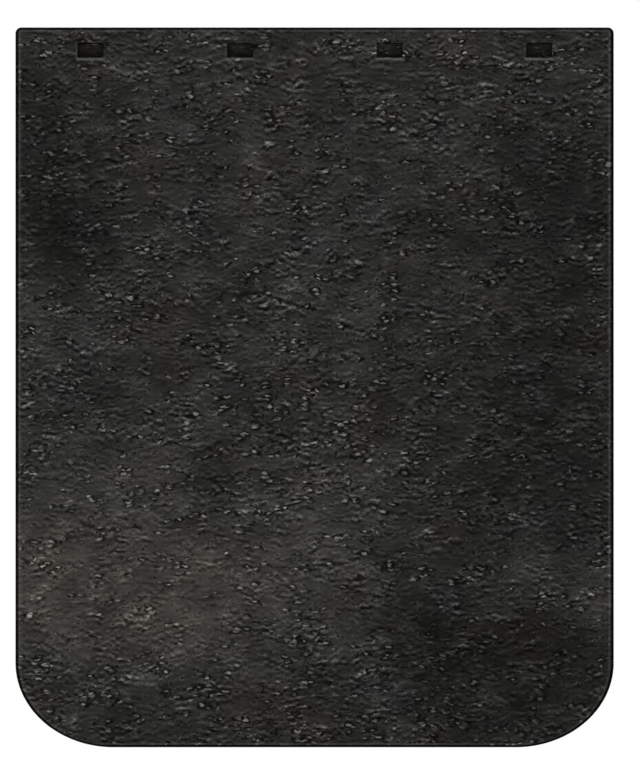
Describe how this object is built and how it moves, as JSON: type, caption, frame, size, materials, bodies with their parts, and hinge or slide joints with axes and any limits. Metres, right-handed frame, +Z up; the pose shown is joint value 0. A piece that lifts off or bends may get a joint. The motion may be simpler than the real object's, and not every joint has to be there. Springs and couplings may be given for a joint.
{
  "type": "mud flap",
  "caption": "Moulded rubber mud flap with rounded lower corners, hung from a row of slots behind a truck or trailer wheel; it bends along its length.",
  "frame": {"origin": "middle of the row of hanger slots, on the flat back face of the sheet", "axes": "+Z up as the flap hangs, X across its width, +Y out of the flat back face that lies against the hanger, so the grained front face looks towards -Y"},
  "size_m": [0.6096, 0.0095, 0.7335],
  "materials": {
    "flap_rubber": "matte"
  },
  "bodies": {
    "band": {"mounting_band": "flap_rubber", "slot_skins": "flap_rubber", "upper_flex": "flap_rubber"},
    "upper": {"upper_panel": "flap_rubber", "middle_flex": "flap_rubber"},
    "middle": {"middle_panel": "flap_rubber", "lower_flex": "flap_rubber"},
    "lower": {"lower_panel": "flap_rubber"}
  },
  "joints": [
    {"name": "upper_bend", "type": "hinge", "parent": "band", "child": "upper", "pos_m": [0, -0.00475, -0.0862], "axis": [-1, 0, 0], "range_deg": [-45, 75], "stiffness_Nm_per_rad": 2.1, "deforming": ["upper_flex"]},
    {"name": "middle_bend", "type": "hinge", "parent": "upper", "child": "middle", "pos_m": [0, -0.00475, -0.2962], "axis": [-1, 0, 0], "range_deg": [-60, 60], "stiffness_Nm_per_rad": 2.1, "deforming": ["middle_flex"]},
    {"name": "lower_bend", "type": "hinge", "parent": "middle", "child": "lower", "pos_m": [0, -0.00475, -0.5062], "axis": [-1, 0, 0], "range_deg": [-60, 60], "stiffness_Nm_per_rad": 2.1, "deforming": ["lower_flex"]}
  ]
}
